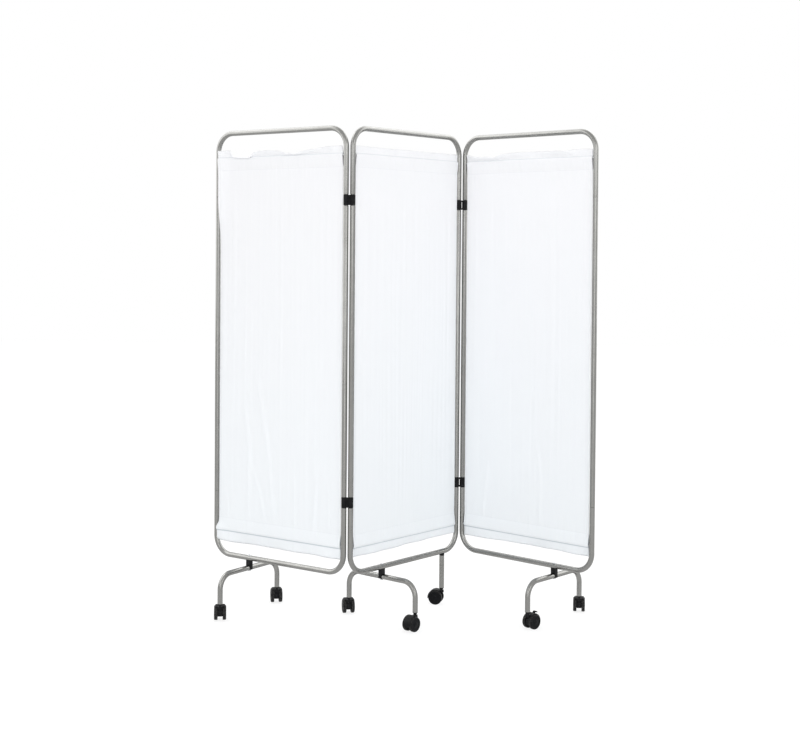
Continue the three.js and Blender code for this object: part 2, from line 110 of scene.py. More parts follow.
class DrawnTube:
    """A tube drawn ring by ring. Each ring keeps where it lies on the tube before bending."""

    def __init__(self, start, heading, radius):
        self.mesh = bmesh.new()
        self.way = self.mesh.verts.layers.float_vector.new("tube_way")
        self.centre, self.heading = start.copy(), heading.copy()
        self.radius, self.travelled = radius, 0.0
        turn_to = heading.to_track_quat("Z", "Y").to_matrix().to_4x4()
        self.ring = bmesh.ops.create_circle(
            self.mesh, cap_ends=False, segments=tube_sides, radius=radius,
            matrix=Matrix.Translation(start) @ turn_to)["verts"]
        for k, vert in enumerate(self.ring):
            turn = 2 * math.pi * k / tube_sides
            vert[self.way] = (radius * math.cos(turn), radius * math.sin(turn), 0)
        self.close()

    def edges(self):
        ring = set(self.ring)
        near = {edge for vert in self.ring for edge in vert.link_edges}
        return [edge for edge in near if edge.verts[0] in ring and edge.verts[1] in ring]

    def take(self, geometry, length):
        self.ring = [item for item in geometry if isinstance(item, bmesh.types.BMVert)]
        self.travelled += abs(length)
        for vert in self.ring:
            way = vert[self.way]
            vert[self.way] = (way.x, way.y, self.travelled)

    def run(self, length, radius=None):
        """Straight on by a length, and to another radius if one is given."""
        made = bmesh.ops.extrude_edge_only(self.mesh, edges=self.edges())["geom"]
        self.take(made, length)
        bmesh.ops.translate(self.mesh, verts=self.ring, vec=self.heading * length)
        self.centre += self.heading * length
        if radius:
            share = radius / self.radius
            back = Matrix.Translation(-self.centre)
            bmesh.ops.scale(self.mesh, verts=self.ring, vec=(share, share, share), space=back)
            self.radius = radius

    def reach(self, height):
        """Straight on, upwards or downwards, to a height."""
        self.run(abs(height - self.centre.z))

    def bend(self, towards, bend_radius):
        axis = self.heading.cross(towards)
        pivot = self.centre + towards * bend_radius
        turn = math.radians(90) / bend_steps
        for _ in range(bend_steps):
            made = bmesh.ops.spin(
                self.mesh, geom=self.edges(), cent=pivot, axis=axis, angle=turn, steps=1,
                use_duplicate=False)
            self.take(made["geom_last"], bend_radius * turn)
        self.centre = pivot + self.heading * bend_radius
        self.heading = towards.copy()

    def close(self):
        bmesh.ops.edgeloop_fill(self.mesh, edges=self.edges())


def finish_mesh(mesh, sharp_degrees=32):
    """Faces turned outwards and smooth, with sharp edges where they meet at more than this."""
    bmesh.ops.remove_doubles(mesh, verts=mesh.verts, dist=1e-6)
    bmesh.ops.recalc_face_normals(mesh, faces=mesh.faces)
    sharp = math.radians(sharp_degrees)
    for face in mesh.faces:
        face.smooth = True
    for edge in mesh.edges:
        edge.smooth = len(edge.link_faces) == 2 and edge.calc_face_angle(0) < sharp


def mark_edges(mesh):
    """How strongly each point lies on an edge, from 0 to 1, for the places that handling rubs."""
    full_edge = math.radians(40)
    layer = mesh.verts.layers.float.get("edge_wear") or mesh.verts.layers.float.new("edge_wear")
    for vert in mesh.verts:
        turns = [
            edge.calc_face_angle(0) for edge in vert.link_edges
            if len(edge.link_faces) == 2 and edge.is_convex]
        vert[layer] = min(1.0, max(turns, default=0.0) / full_edge)


def into_scene(name, data):
    made = bpy.data.objects.new(name, data)
    bpy.context.scene.collection.objects.link(made)
    return made


def as_object(mesh, name, place=None):
    data = bpy.data.meshes.new(name)
    mesh.to_mesh(data)
    mesh.free()
    if place:
        data.transform(place)
    return into_scene(name, data)


def combine(piece, mesh, operation):
    """Works another solid into a piece, and leaves a plain mesh."""
    tool = as_object(mesh, "tool")
    modifier = piece.modifiers.new(operation.title(), "BOOLEAN")
    modifier.operation, modifier.object, modifier.solver = operation, tool, "EXACT"
    graph = bpy.context.evaluated_depsgraph_get()
    made = bpy.data.meshes.new_from_object(piece.evaluated_get(graph))
    piece.modifiers.clear()
    old, piece.data = piece.data, made
    made.name = piece.name
    bpy.data.meshes.remove(old)
    bpy.data.objects.remove(tool)


def join(piece, mesh):
    combine(piece, mesh, "UNION")


def cut(piece, mesh):
    combine(piece, mesh, "DIFFERENCE")


def refinish(piece, sharp_degrees=32):
    """The same finish as a new mesh gets, after a join or a cut."""
    mesh = bmesh.new()
    mesh.from_mesh(piece.data)
    finish_mesh(mesh, sharp_degrees)
    mark_edges(mesh)
    mesh.to_mesh(piece.data)
    mesh.free()
    return piece


def set_piece(piece, body, slot, material, *nodes):
    """The piece rides on its body, takes its material and stands for its CAD nodes."""
    piece.data.materials.clear()
    piece.data.materials.append(material)
    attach(piece, body)
    if nodes:
        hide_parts(*nodes)


def moved(piece, place):
    piece.data.transform(place)
    return piece


def stood(mesh, turn, shift):
    """The mesh turned about the origin and then shifted."""
    bmesh.ops.rotate(mesh, verts=mesh.verts, cent=(0, 0, 0), matrix=turn)
    bmesh.ops.translate(mesh, verts=mesh.verts, vec=shift)
    return mesh


def round_bar(low, high, radius, x=0.0, y=0.0, axis="Z", sides=48):
    """A plain round bar as a closed mesh between two places along an axis."""
    turn, shift = {
        "X": (Matrix.Rotation(math.pi / 2, 3, "Y"), (0, x, y)),
        "Y": (Matrix.Rotation(-math.pi / 2, 3, "X"), (x, 0, y)),
        "Z": (Matrix.Identity(3), (x, y, 0)),
    }[axis]
    mesh = bmesh.new()
    bmesh.ops.create_cone(
        mesh, cap_ends=True, segments=sides, radius1=radius, radius2=radius, depth=high - low,
        matrix=Matrix.Translation((0, 0, (low + high) / 2)))
    return stood(mesh, turn, shift)


def set_inputs(tree, node, inputs):
    """Sets a node's inputs, or links them where a socket is given."""
    for key, value in inputs.items():
        if isinstance(value, bpy.types.NodeSocket):
            tree.links.new(value, node.inputs[key])
        else:
            node.inputs[key].default_value = value


def add_node(tree, kind, inputs, **settings):
    made = tree.nodes.new("ShaderNode" + kind)
    for name, value in settings.items():
        setattr(made, name, value)
    set_inputs(tree, made, inputs)
    return made


def math_node(tree, operation, first, second=0.0, third=0.0, clamp=False):
    made = add_node(
        tree, "Math", {0: first, 1: second, 2: third}, operation=operation, use_clamp=clamp)
    return made.outputs[0]


def times(tree, first, second, clamp=False):
    return math_node(tree, "MULTIPLY", first, second, clamp=clamp)


def map_range(tree, value, low, high, start=0.0, end=1.0):
    return add_node(tree, "MapRange", {0: value, 1: low, 2: high, 3: start, 4: end}).outputs[0]


def mix_colours(tree, share, first, second):
    return add_node(tree, "Mix", {0: share, 6: first, 7: second}, data_type="RGBA").outputs[2]


def noise_texture(tree, place, scale, detail):
    return add_node(
        tree, "TexNoise", {"Vector": place, "Scale": scale, "Detail": detail}).outputs[0]


def stretched(tree, place, factors):
    made = add_node(tree, "VectorMath", {0: place, 1: factors}, operation="MULTIPLY")
    return made.outputs[0]


def bumps(tree, strength, depth, height, **inputs):
    inputs = {"Strength": strength, "Distance": depth, "Height": height, **inputs}
    return add_node(tree, "Bump", inputs).outputs[0]


def shader_group(name, inputs, outputs):
    """An empty shader group, its inputs, given with their defaults, and its output node."""
    group = bpy.data.node_groups.new(name, "ShaderNodeTree")
    kinds = {float: "NodeSocketFloat", tuple: "NodeSocketVector"}
    for label, value in inputs.items():
        socket = group.interface.new_socket(
            name=label, in_out="INPUT", socket_type=kinds[type(value)])
        socket.default_value = value
    for label in outputs:
        group.interface.new_socket(name=label, in_out="OUTPUT", socket_type="NodeSocketFloat")
    return group, group.nodes.new("NodeGroupInput").outputs, group.nodes.new("NodeGroupOutput")


def new_material(name):
    material = bpy.data.materials.new(name)
    material.use_nodes = True
    tree = material.node_tree
    return material, tree, tree.nodes["Principled BSDF"]


# Fine lines that follow drawn and belt-polished metal along its length, with cloudier patches
drawn_lines, given, results = shader_group(
    "drawn_lines", {"Way": (0.0, 0.0, 0.0), "Line Scale": 900.0, "Stretch": 0.03},
    ("Lines", "Clouds"))
squeeze = add_node(drawn_lines, "CombineXYZ", {0: 1.0, 1: 1.0, 2: given["Stretch"]}).outputs[0]
along_way = stretched(drawn_lines, given["Way"], squeeze)
set_inputs(drawn_lines, results, {
    "Lines": noise_texture(drawn_lines, along_way, given["Line Scale"], 3.0),
    "Clouds": noise_texture(drawn_lines, given["Way"], 14.0, 4.0),
})


def drawn_metal(name, light, dark, rough_low, rough_high, line_depth):
    """Metal with lengthwise lines: two greys, a range of roughness and the depth of its lines."""
    material, tree, shader = new_material(name)
    way = add_node(tree, "Attribute", {}, attribute_name="tube_way").outputs["Vector"]
    grain = add_node(tree, "Group", {"Way": way}, node_tree=drawn_lines).outputs
    patches = times(tree, map_range(tree, grain["Clouds"], 0.35, 0.65), 0.5)
    tone = math_node(tree, "MULTIPLY_ADD", grain["Lines"], 0.5, patches)
    set_inputs(tree, shader, {
        "Base Color": mix_colours(tree, tone, (*dark, 1), (*light, 1)),
        "Roughness": map_range(tree, tone, 0.2, 0.8, rough_high, rough_low),
        "Normal": bumps(tree, 0.2, line_depth, grain["Lines"]),
        "Metallic": 1.0,
        "Specular Tint": (0.75, 0.75, 0.75, 1),
    })
    return material


satin_steel = drawn_metal(
    "satin_steel", (0.280, 0.279, 0.269), (0.238, 0.237, 0.228), 0.22, 0.28, 0.00001)


def shoulder(tube, opening):
    """The rounded end of the full tube, where it takes over from a drawn neck or gives way."""
    for length, drop in neck_shoulder if opening else reversed(neck_shoulder):
        tube.run(length, frame_radius - drop)


def bare_neck(tube, length):
    """From the full tube down to its drawn neck over a rounded shoulder, and back again."""
    shoulder(tube, False)
    tube.run(neck_step, neck_radius)
    tube.run(length - 2 * neck_step)
    tube.run(neck_step, neck_radius)
    shoulder(tube, True)


def seam_line(tube):
    """A fine groove round the tube, where the top bow's tube meets the stile's."""
    tube.run(seam_depth, frame_radius - seam_depth)
    tube.run(seam_depth, frame_radius)


def upper_frame(hinged_left, hinged_right):
    """Up one stile, over the top bow and down the other, from spigot to spigot."""
    neck_low, neck_high = clip_heights[1] - clip_space, clip_heights[1] + clip_space
    low_end = clip_heights[0] + clip_space
    tube = DrawnTube(Vector((0, 0, seam - spigot_length)), up, neck_radius - spigot_tip)
    tube.run(spigot_tip, neck_radius)
    if hinged_left:
        tube.reach(low_end)
        shoulder(tube, True)
        tube.reach(neck_low - shoulder_length)
        bare_neck(tube, neck_high - neck_low)
    else:
        tube.reach(seam + hole_gap)
        tube.run(neck_step, frame_radius - seam_rim)
        tube.run(tube_rim, frame_radius)
        tube.reach(neck_high - seam_depth)
        seam_line(tube)
    tube.reach(top_rail - frame_bend)
    tube.bend(right, frame_bend)
    tube.run(panel_width - 2 * frame_bend)
    tube.bend(-up, frame_bend)
    if hinged_right:
        tube.reach(neck_high + shoulder_length)
        bare_neck(tube, neck_high - neck_low)
        tube.reach(low_end + shoulder_length)
        shoulder(tube, False)
        tube.run(neck_step, neck_radius)
    else:
        tube.reach(neck_high + seam_depth)
        seam_line(tube)
        tube.reach(seam + hole_gap + tube_rim + neck_step)
        tube.run(tube_rim, frame_radius - seam_rim)
        tube.run(neck_step, neck_radius)
    tube.reach(seam - spigot_length + spigot_tip)
    tube.run(spigot_tip, neck_radius - spigot_tip)
    tube.close()
    return tube.mesh


def tube_from_socket(start, heading, radius):
    """A tube begun at the bottom of its socket: out to the rim and over it onto the outside."""
    bore = radius - tube_wall
    tube = DrawnTube(start, heading, bore)
    tube.run(bore_rim - socket_depth, bore)
    tube.run(-bore_rim, bore + bore_rim)
    tube.run(0.0, radius - tube_rim)
    tube.run(tube_rim, radius)
    return tube


def end_in_socket(tube):
    """Over the rim at the far end and back down into the socket, where the mesh closes."""
    bore = tube.radius - tube_wall
    tube.run(tube_rim, tube.radius - tube_rim)
    tube.run(0.0, bore + bore_rim)
    tube.run(-bore_rim, bore)
    tube.run(bore_rim - socket_depth, bore)
    tube.close()
    return tube.mesh


def lower_bow():
    """Down one short stile, along the bottom rail and up the other, with a socket at each end."""
    tube = tube_from_socket(Vector((0, 0, seam - socket_depth)), -up, frame_radius)
    tube.reach(bottom_rail + frame_bend)
    tube.bend(right, frame_bend)
    tube.run(panel_width - 2 * frame_bend)
    tube.bend(up, frame_bend)
    tube.reach(seam - tube_rim)
    return end_in_socket(tube)


def with_rod_holes(piece, height):
    """Cuts the two holes that a curtain rod's ends sit in."""
    near, far = rod_end - hole_gap, rod_hole_end
    for low, high in ((near, far), (panel_width - far, panel_width - near)):
        cut(piece, round_bar(low, high, rod_radius + hole_gap, y=height, axis="X", sides=32))
    return refinish(piece, 30)


hinged_stiles = {"left": (False, True), "middle": (True, True), "right": (True, False)}
rod_heights = {"top": top_rail - rod_from_rail, "bottom": bottom_rail + rod_from_rail}
for panel, place in panel_places.items():
    for mesh, level, name, node in (
            (upper_frame(*hinged_stiles[panel]), "top", "top_bow_tube", "upper_frame"),
            (lower_bow(), "bottom", "bottom_bow_tube", "lower_bow")):
        bow = with_rod_holes(as_object(mesh, f"{panel}_{name}"), rod_heights[level])
        set_piece(
            moved(bow, place), f"{panel}_panel", "steel_tube", satin_steel, f"{panel}_{node}")


# The feet: one tube for each panel, bent to an upside-down U that stands square across it, and one
# straight post near the middle panel's far end. Their lower ends are open for the castor plugs.
leg_radius = 0.009
leg_bend = 0.050
leg_end = 0.060
foot_reach = 0.152
bar_height = 0.158
post_top = 0.178
foot_insets = {"left": 0.155, "middle": 0.161, "right": panel_width - 0.155}
post_inset = panel_width - 0.081


def foot_tube(x):
    socket = Vector((x, -foot_reach, leg_end + socket_depth))
    tube = tube_from_socket(socket, up, leg_radius)
    tube.reach(bar_height - leg_bend)
    tube.bend(Vector((0, 1, 0)), leg_bend)
    tube.run(2 * (foot_reach - leg_bend))
    tube.bend(-up, leg_bend)
    tube.reach(leg_end + tube_rim)
    return end_in_socket(tube)


def post_tube(x):
    tube = tube_from_socket(Vector((x, 0, leg_end + socket_depth)), up, leg_radius)
    tube.reach(post_top - tube_rim)
    return end_in_socket(tube)


def add_to_panel(mesh, panel, name, slot, material, node):
    """Sets a finished tube or rod in its panel."""
    finish_mesh(mesh)
    piece = as_object(mesh, f"{panel}_{name}", panel_places[panel])
    set_piece(piece, f"{panel}_panel", slot, material, f"{panel}_{node}")


for panel in panel_places:
    mesh = foot_tube(foot_insets[panel])
    add_to_panel(mesh, panel, "foot_tube", "steel_tube", satin_steel, "foot")
add_to_panel(post_tube(post_inset), "middle", "post_tube", "steel_tube", satin_steel, "post")


# The curtain rods: zinc-plated steel bar, two to a panel, with their ends in the stiles' holes.
# The curtains' casings hide all of a rod but a little at each end.
rod_rim = 0.0006
bright_zinc = drawn_metal(
    "bright_zinc", (0.66, 0.67, 0.68), (0.52, 0.53, 0.55), 0.22, 0.38, 0.00002)


def rod_bar(height):
    tube = DrawnTube(Vector((rod_end, 0, height)), right, rod_radius - rod_rim)
    tube.run(rod_rim, rod_radius)
    tube.run(panel_width - 2 * (rod_end + rod_rim))
    tube.run(rod_rim, rod_radius - rod_rim)
    tube.close()
    return tube.mesh


for panel in panel_places:
    for level, height in rod_heights.items():
        mesh = rod_bar(height)
        add_to_panel(mesh, panel, f"{level}_rod_bar", "rod_steel", bright_zinc, f"{level}_rod")


# The curtains: white woven cloth, hemmed at both sides and sewn back on itself at top and bottom
# into a deep casing for the rod with a loose ruffle past it. The cloth is gathered on its rods, so
# fine puckers at the casings open into soft upright folds between them.
side_gap = 0.003
casing = 0.038
ruffle = 0.032
pinch = 0.0062
header_reach = 0.0145
cloth_thickness = 0.0005
cloth_columns = 190
body_rows = 60
wide_folds, small_folds, casing_folds, puckers_at_casing = 0.0009, 0.0003, 0.0005, 0.0008
crease_fade = 0.03
ripple = 0.05
lap_width = 0.045
lap_forward = 0.0080
upper_lap, lower_lap = (1.29, 1.47, 1.630, 1.645), (0.235, 0.250, 0.285, 0.31)
stitch_length = 0.0032
side_hem = 0.009
curtain_start = frame_radius + side_gap
curtain_width = panel_width - 2 * curtain_start
low_rod, high_rod = rod_heights["bottom"], rod_heights["top"]
casing_side = (
    (0.0010, -casing), (0.0028, -0.026), (0.0046, -0.010), (0.0054, -0.002), (0.0050, 0.003))
ruffle_side = ((0.0022, pinch), (0.0011, 0.009), (0.0013, 0.017), (0.0016, 0.025), (0.0012, 0.0305))


def sewn_line():
    """The cloth's line from the back hem of the bottom casing, over its ruffle, up the front and
    over to the back hem of the top one: depth from the rods' plane and height."""
    shape = (*casing_side, *ruffle_side)
    rise = [(-depth, high_rod + up_by) for depth, up_by in shape]
    fall = [(depth, high_rod + up_by) for depth, up_by in reversed(shape)]
    over = [*rise, (0.0, high_rod + ruffle), *fall]
    under = [(depth, low_rod + high_rod - height) for depth, height in reversed(over)]
    foot, open_height = low_rod + casing, high_rod - low_rod - 2 * casing
    body = [(-0.0010, foot + open_height * k / body_rows) for k in range(1, body_rows)]
    return [Vector(point) for point in (*under, *body, *over)]


def along_line(line, spacing):
    """Points along a line at a spacing that depends on height, with each one's distance along."""
    marks = [0.0]
    for a, b in zip(line, line[1:]):
        marks.append(marks[-1] + (b - a).length)
    points, travelled, k = [], 0.0, 0
    while travelled < marks[-1]:
        while marks[k + 1] < travelled:
            k += 1
        share = (travelled - marks[k]) / (marks[k + 1] - marks[k])
        point = line[k].lerp(line[k + 1], share)
        points.append((point, travelled))
        travelled += spacing(point.y)
    points.append((line[-1], marks[-1]))
    return points


def ramp(value, low, high):
    share = min(1.0, max(0.0, (value - low) / (high - low)))
    return share * share * (3 - 2 * share)


def through(table, x):
    """The value at x of a smooth line through the points of a table."""
    if x <= table[0][0]:
        return table[0][1]
    for (x0, y0), (x1, y1) in zip(table, table[1:]):
        if x <= x1:
            return y0 + (y1 - y0) * ramp(x, x0, x1)
    return table[-1][1]


def between(value, start, full, fading, end):
    """Rises from 0 at the start to 1, stays there, and falls back to 0 at the end."""
    return ramp(value, start, full) * (1 - ramp(value, fading, end))


def off_rods(height):
    return min(abs(height - low_rod), abs(height - high_rod))


def row_spacing(height):
    return 0.0030 + 0.0105 * ramp(off_rods(height), casing + 0.01, casing + 0.12)


cloth_rows = along_line(sewn_line(), row_spacing)
cloth_length = cloth_rows[-1][1]


def gathers(x, z, seed):
    """How far the gathered cloth stands off its plane: wide folds, small ones, fine puckers."""
    inside = min(z - low_rod - casing, high_rod - casing - z)
    open_share = ramp(inside, -0.005, 0.16)
    near_casing = 1 - ramp(inside, -0.004, 0.07)
    at_rod = 1 - 0.6 * (1 - ramp(off_rods(z), 0.003, 0.012))
    wander = 0.006 * noise.noise(Vector((x * 6, z * 1.6, seed + 9)))
    wide = noise.noise(Vector(((x + wander) * 74, z * 1.1, seed)))
    small = noise.noise(Vector(((x + wander) * 180, z * 2.6, seed + 3)))
    fine = noise.noise(Vector((x * 330, z * 16, seed + 6)))
    stand = wide_folds * open_share * wide
    stand += (small_folds + casing_folds * near_casing) * small
    return stand + puckers_at_casing * near_casing * at_rod * fine


def crease(x, z, line, width, depth):
    """A fold that the cloth took on as it hung, along a slanting line of (x, z) points."""
    top, bottom = line[0][1] + crease_fade, line[-1][1] - crease_fade
    if not bottom < z < top:
        return 0.0
    middle = line[-1][0]
    for (x0, z0), (x1, z1) in zip(line, line[1:]):
        if z1 <= z:
            middle = x1 + (x0 - x1) * min(1.0, (z - z1) / (z0 - z1))
            break
    fade = ramp(top - z, 0, 0.10) * ramp(z - bottom, 0, 0.06)
    off = (x - middle) / width
    return depth * fade * (math.exp(-off * off) - 0.5 * math.exp(-(off - 1.6) ** 2))


# How each curtain hangs, by millimetres along its panel: the degrees that its header leans
# forward, its creases as (line, width, depth), how far it laps over the stile at its start, and
# how many times longer than drawn its bottom ruffle is
hang = {
    "left": {
        "header": (
            (0, 8), (33, 0), (56, 12), (84, 90), (125, 100), (155, 96), (178, 48), (201, 38),
            (278, 46), (325, 74), (357, 84), (393, 62), (436, 48), (500, 20), (541, 4), (571, 18)),
        "creases": (
            (((45, 415), (59, 309)), 7, 2.5),
            (((130, 744), (151, 578), (150, 318)), 9, 3.5),
            (((189, 818), (237, 576), (265, 340)), 10, 3.5),
            (((152, 538), (199, 432), (226, 318)), 8, 3.0),
            (((356, 557), (358, 318)), 7, 2.5),
            (((456, 529), (439, 318)), 8, 3.0),
            (((502, 503), (507, 330)), 6, 2.0),
        ),
        "lap": 6.2,
        "hem": ((0, 1.50), (571, 1.42)),
        "seed": 1.3,
    },
    "middle": {
        "header": ((0, 0), (571, 0)),
        "creases": (),
        "lap": 0.0,
        "hem": ((0, 1.22), (571, 1.06)),
        "seed": 17.9,
    },
    "right": {
        "header": (
            (0, 14), (60, 52), (141, 58), (180, 34), (237, 14), (299, 0), (337, 6), (398, 22),
            (457, 34), (493, 10), (571, 0)),
        "creases": (
            (((330, 640), (352, 480), (350, 330)), 9, 2.0),
            (((120, 560), (96, 330)), 9, 2.0),
        ),
        "lap": 0.0,
        "hem": ((0, 1.38), (240, 1.16), (420, 1.18), (571, 1.28)),
        "seed": 41.7,
    },
}


def curtain_mesh(look):
    seed = look["seed"]
    creases = [
        ([(x / 1000, z / 1000) for x, z in line], width / 1000, depth / 1000)
        for line, width, depth in look["creases"]]
    mesh = bmesh.new()
    laid = mesh.loops.layers.uv.new("cloth_lay")
    last_row = len(cloth_rows) - 1
    bmesh.ops.create_grid(mesh, x_segments=cloth_columns, y_segments=last_row, size=0.5)
    flat = {}
    for vert in mesh.verts:
        (depth, z), travelled = cloth_rows[round((vert.co.y + 0.5) * last_row)]
        x = curtain_start + (vert.co.x + 0.5) * curtain_width
        flat[vert] = (x, travelled)
        stand = gathers(x, z, seed)
        for line, width, amount in creases:
            stand -= 0.6 * crease(x, z, line, width, amount)
        y = depth + stand
        root = high_rod + pinch
        if z > root:
            lean = math.radians(through(look["header"], x * 1000))
            lean += 0.10 * noise.noise(Vector((x * 40, 0, seed)))
            rise = (z - root) * (1 + ripple * noise.noise(Vector((x * 14, 3, seed))))
            bent = lean * ramp(z - root, -0.004, 0.012)
            out = rise * math.sin(bent)
            out /= math.hypot(1, out / header_reach)
            y, z = (y * math.cos(bent) - out,
                    root + rise * math.cos(bent) + y * math.sin(bent))
        if z < low_rod - pinch:
            rise = z - low_rod + pinch
            longer = through(look["hem"], x * 1000)
            longer *= 1 + ripple * noise.noise(Vector((x * 12, 5, seed)))
            z = low_rod - pinch + rise * longer
            y += rise * 0.35 * noise.noise(Vector((x * 11, 7, seed)))
        if look["lap"] and depth < 0.0005:
            edge = 1 - ramp(x - curtain_start, 0.0, lap_width)
            reach = max(between(z, *upper_lap), 0.8 * between(z, *lower_lap))
            x -= edge * reach * look["lap"] / 1000
            y -= edge * reach * lap_forward
        vert.co = (x, y, z)
    for face in mesh.faces:
        face.smooth = True
        for loop in face.loops:
            loop[laid].uv = flat[loop.vert]
    return mesh


def apart(tree, first, second):
    return math_node(tree, "ABSOLUTE", math_node(tree, "SUBTRACT", first, second))


def stitching(tree, off, along):
    """A row of stitches where the distance off it is next to nothing, dashed along its run."""
    row = map_range(tree, off, 0.0004, 0.0011, 1.0, 0.0)
    turn = times(tree, along, 2 * math.pi / stitch_length)
    dash = math_node(tree, "MULTIPLY_ADD", math_node(tree, "SINE", turn), 0.35, 0.65)
    return times(tree, row, dash)


def woven_cloth():
    """Plain-woven white cotton and polyester: threads, slubs, hem stitches and a soft sheen."""
    material, tree, shader = new_material("woven_curtain_cloth")
    # The colour below also holds painted shade: along the stitch rows, under the rods and towards
    # the bottom
    lay = add_node(tree, "UVMap", {}, uv_map="cloth_lay").outputs[0]
    over_at, along_at, _ = add_node(tree, "SeparateXYZ", {0: lay}).outputs
    warp, weft = (
        add_node(
            tree, "TexWave", {"Vector": lay, "Scale": scale, "Distortion": 0.6, "Detail": 1.0},
            bands_direction=way).outputs[1]
        for way, scale in (("X", 520.0), ("Y", 560.0)))
    threads = times(tree, warp, weft)
    slubs = noise_texture(tree, stretched(tree, lay, (60.0, 900.0, 1.0)), 1.0, 2.0)
    puckers = noise_texture(tree, stretched(tree, lay, (420.0, 14.0, 1.0)), 1.0, 2.0)
    tone = math_node(tree, "MULTIPLY_ADD", slubs, 0.6, times(tree, threads, 0.4))
    white = mix_colours(tree, tone, (0.885, 0.892, 0.915, 1), (0.915, 0.920, 0.935, 1))
    # Painted shade: the cloth is painted darker and cooler towards its bottom
    shaded_cooler_white = mix_colours(tree, tone, (0.860, 0.892, 0.920, 1), (0.885, 0.915, 0.937, 1))
    painted_shade_downward = map_range(tree, along_at, 0.15, 1.25, 1.0, 0.0)
    cloth = mix_colours(tree, painted_shade_downward, white, shaded_cooler_white)
    # Two rows of stitches close each casing and its ruffle, and one runs inside each side hem
    fold = min(way for point, way in cloth_rows if point[1] < low_rod - ruffle + 0.001)
    off_row = None
    for row in (0.002, fold - 0.0245, fold + 0.0275, 2 * fold + 0.001):
        for middle in (row, cloth_length - row):
            off = apart(tree, along_at, middle)
            off_row = off if off_row is None else math_node(tree, "MINIMUM", off_row, off)
    from_middle = apart(tree, over_at, panel_width / 2)
    off_hem = apart(tree, from_middle, curtain_width / 2 - side_hem)
    seams = math_node(
        tree, "MAXIMUM", stitching(tree, off_row, over_at), stitching(tree, off_hem, along_at))
    # The stitch rows are painted darker: partly the dashed thread, partly painted shade along the
    # seams
    stitch_and_shade_share = times(tree, seams, 0.30)
    cloth = mix_colours(tree, stitch_and_shade_share, cloth, (0.66, 0.68, 0.74, 1))
    # Painted shade: under each rod, along the line where the cloth gathers, its colour is painted
    # greyer
    for middle, depth in ((fold, 0.62), (cloth_length - fold, 0.22)):
        off = apart(tree, apart(tree, along_at, middle), ruffle - pinch)
        painted_pinch_shade = map_range(tree, off, 0.0008, 0.0024, depth, 0.0)
        cloth = mix_colours(tree, painted_pinch_shade, cloth, (0.40, 0.46, 0.51, 1))
    relief = math_node(tree, "SUBTRACT", times(tree, threads, 0.5), seams)
    pucker_bumps = bumps(tree, 0.5, 0.0006, puckers)
    set_inputs(tree, shader, {
        "Base Color": cloth,
        "Roughness": map_range(tree, tone, 0.0, 1.0, 0.94, 0.82),
        "Normal": bumps(tree, 0.3, 0.0002, relief, Normal=pucker_bumps),
        "Sheen Weight": 0.25,
        "Sheen Roughness": 0.5,
        "Specular IOR Level": 0.2,
    })
    return material


curtain_cloth = woven_cloth()
for panel, place in panel_places.items():
    curtain = as_object(curtain_mesh(hang[panel]), f"{panel}_curtain_sheet", place)
    thickness = curtain.modifiers.new("Thickness", "SOLIDIFY")
    thickness.thickness, thickness.offset = cloth_thickness, 0
    set_piece(curtain, f"{panel}_panel", "curtain_cloth", curtain_cloth, f"{panel}_curtain")


# The hinge clips: black moulded sleeves in pairs, joined by a bridge, on the bare necks of two
# neighbouring stiles. The right pair's bridge is slit through, the left pair's has only a groove.
clip_height = 0.036
clip_bore = 0.0075
clip_rounding = 0.0009
clip_bridge = 0.008
bridge_inset = 0.0008
clip_slit = 0.0018
slit_height = 0.022
groove_floor = 0.0016

# The grain of a mould, and the dust and dull marks that gather on plastic near the floor
moulded_skin, given, results = shader_group(
    "moulded_skin", {"Place": (0.0, 0.0, 0.0), "Grain Scale": 1400.0}, ("Grain", "Marks"))
set_inputs(moulded_skin, results, {
    "Grain": noise_texture(moulded_skin, given["Place"], given["Grain Scale"], 2.0),
    "Marks": noise_texture(moulded_skin, given["Place"], 95.0, 5.0),
})

settled_dust, given, results = shader_group(
    "settled_dust", {"Place": (0.0, 0.0, 0.0), "Facing": (0.0, 0.0, 1.0), "Amount": 0.3},
    ("Dust",))
facing_up = add_node(settled_dust, "SeparateXYZ", {0: given["Facing"]}).outputs[2]
upward = map_range(settled_dust, facing_up, 0.2, 1.0)
speckle = noise_texture(settled_dust, given["Place"], 420.0, 4.0)
dust = times(settled_dust, upward, map_range(settled_dust, speckle, 0.40, 0.68))
dust = times(settled_dust, dust, given["Amount"])
set_inputs(settled_dust, results, {"Dust": dust})


